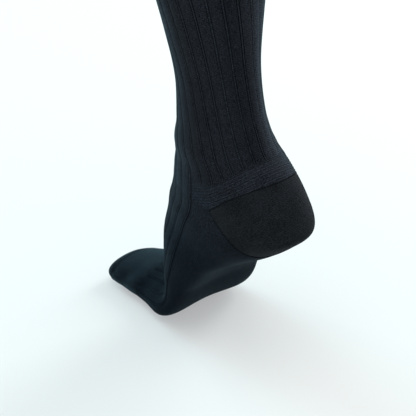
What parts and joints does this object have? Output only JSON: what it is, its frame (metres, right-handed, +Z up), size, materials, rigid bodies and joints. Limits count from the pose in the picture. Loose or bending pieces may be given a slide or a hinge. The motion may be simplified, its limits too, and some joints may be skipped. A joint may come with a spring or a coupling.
{
  "type": "compression stocking",
  "caption": "Knee-high ribbed compression stocking for a right leg, filled out as worn with the heel raised: open top band, ribbed leg and instep, plain heel pocket, closed toe.",
  "frame": {"origin": "centre of the top band, half way down it, where the leg below the knee holds the stocking up", "axes": "+Z up; the toes point towards -X and the heel towards +X; -Y is the inner side of the right foot and +Y its outer side"},
  "size_m": [0.2132, 0.1116, 0.4979],
  "materials": {
    "band_knit": "close double knit, charcoal navy, matt",
    "ribbed_knit": "ribbed elastic knit, charcoal navy, soft sheen at the edges",
    "heel_knit": "dense plain knit, dark charcoal navy, matt",
    "toe_knit": "dense plain knit, dark charcoal navy, matt"
  },
  "bodies": {
    "root": {"top_band": "band_knit", "leg": "ribbed_knit", "heel_pocket": "heel_knit", "foot": "ribbed_knit", "toe_cap": "toe_knit"}
  },
  "joints": []
}
